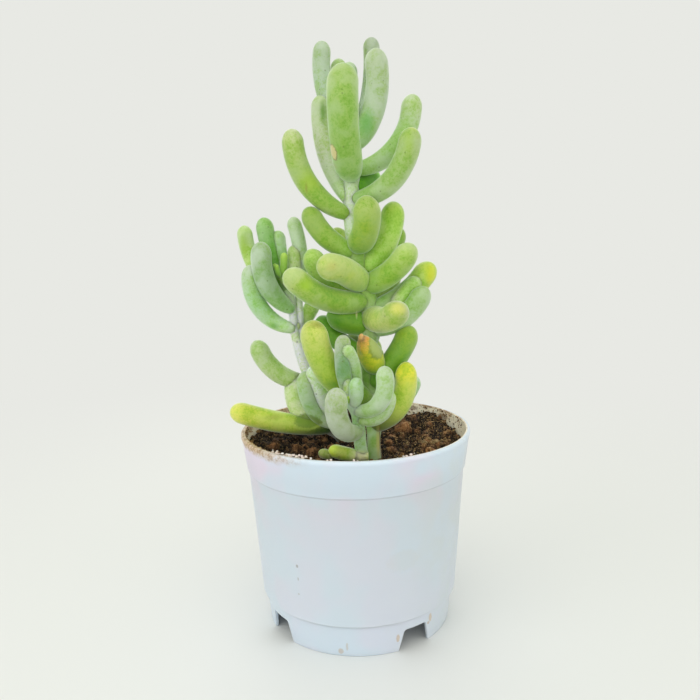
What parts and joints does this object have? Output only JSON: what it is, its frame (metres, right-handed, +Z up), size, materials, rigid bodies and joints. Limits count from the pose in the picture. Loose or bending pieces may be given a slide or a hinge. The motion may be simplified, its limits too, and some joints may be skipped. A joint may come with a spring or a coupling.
{
  "type": "potted sedum",
  "caption": "Jelly-bean sedum with plump upright leaves on a tall stem and two smaller shoots, in a round white nursery pot with a notched foot ring.",
  "frame": {"origin": "on the surface that the pot stands on, under the middle of the whole object's outline; the pot's own axis is 1.7 mm to +X of it", "axes": "+Z up along the plant, -Y towards the side that the picture shows, +X to the right in it"},
  "size_m": [0.1038, 0.1, 0.2509],
  "materials": {
    "pot": "satin",
    "soil": "matte",
    "leaves_green": "satin",
    "leaves_blue_green": "satin",
    "leaves_pale": "matte"
  },
  "bodies": {
    "root": {"pot": "pot", "soil": "soil", "shoot_main": "leaves_green", "shoot_left": "leaves_blue_green", "shoot_front": "leaves_pale"}
  },
  "joints": []
}
